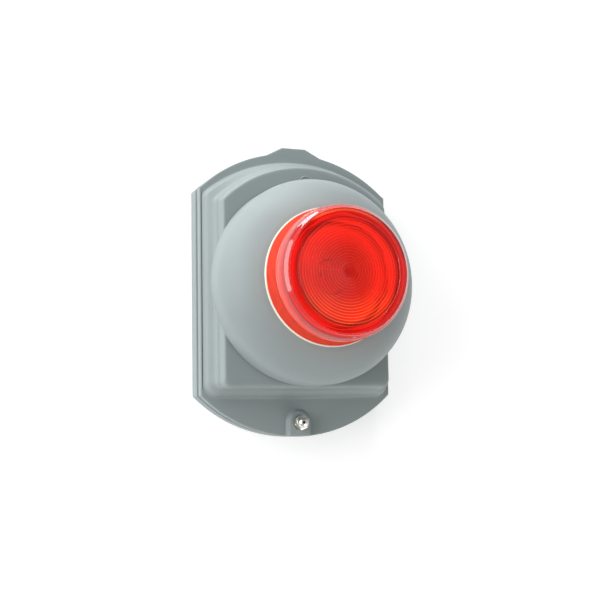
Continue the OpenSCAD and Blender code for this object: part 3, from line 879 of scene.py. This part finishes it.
def build_lens():
    """The lens: frosted foot, clear side wall and front, with ring prisms behind the front."""
    foot_r, back, front = LENS_HI[0], LENS_LO[2], LENS_HI[2]
    step, r, wall = 105.5, 46.3, 2.2
    prism = 0.55
    outer = [
        (foot_r, back), (foot_r - 0.15, back + 2),
        # Edge of the foot, in to the side wall
        (foot_r - 0.8, step - 0.8), (foot_r - 0.95, step - 0.2), (foot_r - 1.25, step + 0.1),
        (r + 0.45, step + 0.25), (r + 0.15, step + 0.5), (r, step + 1.1),
        # Rounded shoulder, then a slightly crowned bevel
        (r, 114), (r - 0.02, 117.0),
        (r - 0.12, 117.7), (r - 0.32, 118.3), (r - 0.55, 118.65),
        (r - 1.25, 119.42), (r - 1.95, 120.15), (r - 2.6, 120.85),
        # Seam groove, and the rounded edge of the flat front
        (r - 2.85, 121.18), (r - 3.0, 121.44), (r - 3.1, 121.3), (r - 3.35, 121.3),
        (r - 3.45, 121.6), (r - 3.6, 121.85), (r - 3.9, 121.97), (r - 4.3, front),
    ]
    groove = r - 8.8
    outer += [(groove + 0.5, front), (groove + 0.25, front - 0.35), (groove - 0.25, front - 0.35),
              (groove - 0.5, front)]
    outer += [(i * 4.0, front) for i in range(8, 0, -1)] + [(0, front)]
    behind = front - wall
    inner = [(0, behind)]
    for i in range(2, 19):
        at = i * RIDGE_PITCH
        inner += [(at - 0.05, behind), (at, behind - prism), (at + 0.35, behind - 0.2)]
    inner += [(r - 6.4, behind), (r - 4.4, behind - 0.9), (r - 3.0, behind - 2.2),
              (r - wall, front - 6), (r - wall, step + 1), (foot_r - wall, back)]
    lens = revolve("lens_moulding", outer + inner, 256, smooth=26)
    dress(lens, "cover", "lens_red", "strobe_lens", extra=FROSTED)
    for face in lens.data.polygons:
        face.material_index = 1 if -face.center.y / MM < step + 0.2 else 0


def build_cap_nut():
    """Low cap nut: a chamfered hexagon under a round dome."""
    foot, top = NUT_LO[2], NUT_HI[2]
    flats, hexagon, dome_r = 10.0, 4.6, 4.4
    bore_r, chamfer = 3.0, 0.55
    twelfth, sixth = math.pi / 6, math.pi / 3
    corner = flats / 2 / math.cos(twelfth)
    steps, turn = 240, math.radians(20)
    angles = [2 * math.pi * i / steps for i in range(steps)]
    dome_mid = top - dome_r
    levels = [(3.1, foot), (4.9, foot)]
    levels += [(4.95 + (corner - 4.95) * (i / 8), foot + chamfer * (i / 8) * 0.8)
               for i in range(9)]
    levels += [(corner + (4.7 - corner) * (i / 8), foot + hexagon - chamfer * (1 - i / 8))
               for i in range(9)]
    levels += [(dome_r + 0.12, foot + hexagon + 0.04), (dome_r, foot + hexagon + 0.2),
               (dome_r, dome_mid)]
    for degrees in range(5, 90, 5):
        a = math.radians(degrees)
        levels.append((dome_r * math.cos(a), dome_mid + dome_r * math.sin(a)))
    bore = [[(bore_r * math.cos(a), STUD_UP + bore_r * math.sin(a), depth) for a in angles]
            for depth in (foot + 6.8, foot + 0.3)]
    loops = []
    for r, depth in levels:
        loop = []
        for a in angles:
            in_flat = (a - turn + twelfth) % sixth - twelfth
            reach = min(r, flats / 2 / math.cos(twelfth - abs(in_flat)))
            loop.append((reach * math.cos(a), STUD_UP + reach * math.sin(a), depth))
        loops.append(loop)
    nut = loft("acorn_nut", bore + loops, smooth=28)
    dress(nut, "nut", "nut_chrome", "cap_nut")


# ---------------------------------------------------------------- stage, light, camera

def area_light(name, at, size, power, colour=(1, 1, 1)):
    """A soft box at a place in metres, aimed at the middle of the object."""
    aim = Vector((0, -0.05, 0))
    lamp = bpy.data.lights.new(name, "AREA")
    lamp.shape, lamp.size, lamp.size_y = "RECTANGLE", size[0], size[1]
    lamp.energy, lamp.color = power, colour
    obj = bpy.data.objects.new(name, lamp)
    obj.location = at
    obj.rotation_mode = "QUATERNION"
    obj.rotation_quaternion = (aim - Vector(at)).to_track_quat("-Z", "Y")
    bpy.context.scene.collection.objects.link(obj)


def build_stage():
    """The wall, in metres, just behind the back plate."""
    half, gap = 2.5, 0.0006
    verts = [(-half, gap, -half), (half, gap, -half), (half, gap, half), (-half, gap, half)]
    mesh = bpy.data.meshes.new("wall")
    mesh.from_pydata(verts, [], [(0, 1, 2, 3)])
    wall = bpy.data.objects.new("wall", mesh)
    bpy.context.scene.collection.objects.link(wall)
    mat, tree, shader = material("white_wall", 0.9)
    shader.inputs["Base Color"].default_value = (0.8, 0.8, 0.8, 1)
    shader.inputs["Emission Color"].default_value = (1, 1, 1, 1)
    shader.inputs["Emission Strength"].default_value = WALL_GLOW
    # Seen from behind, the wall is clear, so that the back of the object shows
    geometry = tree.nodes.new("ShaderNodeNewGeometry")
    clear = tree.nodes.new("ShaderNodeBsdfTransparent")
    mix = tree.nodes.new("ShaderNodeMixShader")
    out = tree.nodes["Material Output"]
    tree.links.new(geometry.outputs["Backfacing"], mix.inputs["Fac"])
    tree.links.new(shader.outputs["BSDF"], mix.inputs[1])
    tree.links.new(clear.outputs["BSDF"], mix.inputs[2])
    tree.links.new(mix.outputs["Shader"], out.inputs["Surface"])
    mesh.materials.append(mat)


def build_light():
    """A bright tent, dimmer towards the viewer; soft boxes on the left, above and low right."""
    world = bpy.data.worlds.new("studio")
    bpy.context.scene.world = world
    world.use_nodes = True
    tree = world.node_tree
    coord = tree.nodes.new("ShaderNodeTexCoord")
    split = tree.nodes.new("ShaderNodeSeparateXYZ")
    tree.links.new(coord.outputs["Generated"], split.inputs[0])
    toward = ramp(tree, maths(tree, "ADD", split.outputs["Y"], 1.0), [
        (0.0, TENT_HOLE), (0.09, TENT_HOLE), (0.17, TENT_FRONT), (0.7, TENT_SIDE),
        (1.0, TENT_SIDE)])
    tree.links.new(toward, tree.nodes["Background"].inputs["Color"])
    tree.nodes["Background"].inputs["Strength"].default_value = 1.0
    area_light("key", (-1.5, -0.75, 0.35), (1.0, 2.0), 25)
    area_light("top", (-0.25, -0.32, 1.6), (1.4, 0.6), 23)
    area_light("fill", (0.75, -0.8, -1.2), (1.2, 1.2), 7.5, (1.0, 0.93, 0.86))


def build_camera():
    """The camera, in metres, where the fit to the object's outlines puts it."""
    azimuth, elevation, roll = math.radians(-21.35), math.radians(-6.41), math.radians(-1.006)
    distance, target = 0.8377, Vector((-0.00396, -0.040, -0.01079))
    level = math.cos(elevation)
    back = Vector((math.sin(azimuth) * level, -math.cos(azimuth) * level, math.sin(elevation)))
    data = bpy.data.cameras.new("camera")
    data.lens, data.sensor_width = 68.36, 36.0
    data.clip_start, data.clip_end = 0.01, 20
    camera = bpy.data.objects.new("camera", data)
    camera.rotation_mode = "QUATERNION"
    camera.location = target + back * distance
    spin = Matrix.Rotation(roll, 4, "Z").to_quaternion()
    camera.rotation_quaternion = (-back).to_track_quat("-Z", "Y") @ spin
    bpy.context.scene.collection.objects.link(camera)
    bpy.context.scene.camera = camera


build_camera()
finish_nodes()
build_cover()
build_nut_pad()
build_cover_trim()
build_back_plate()
build_lugs()
build_dome()
build_strobe_ring()
build_lens()
build_cap_nut()
build_stage()
build_light()
bpy.context.scene.view_settings.view_transform = "Standard"

bpy.context.view_layer.update()
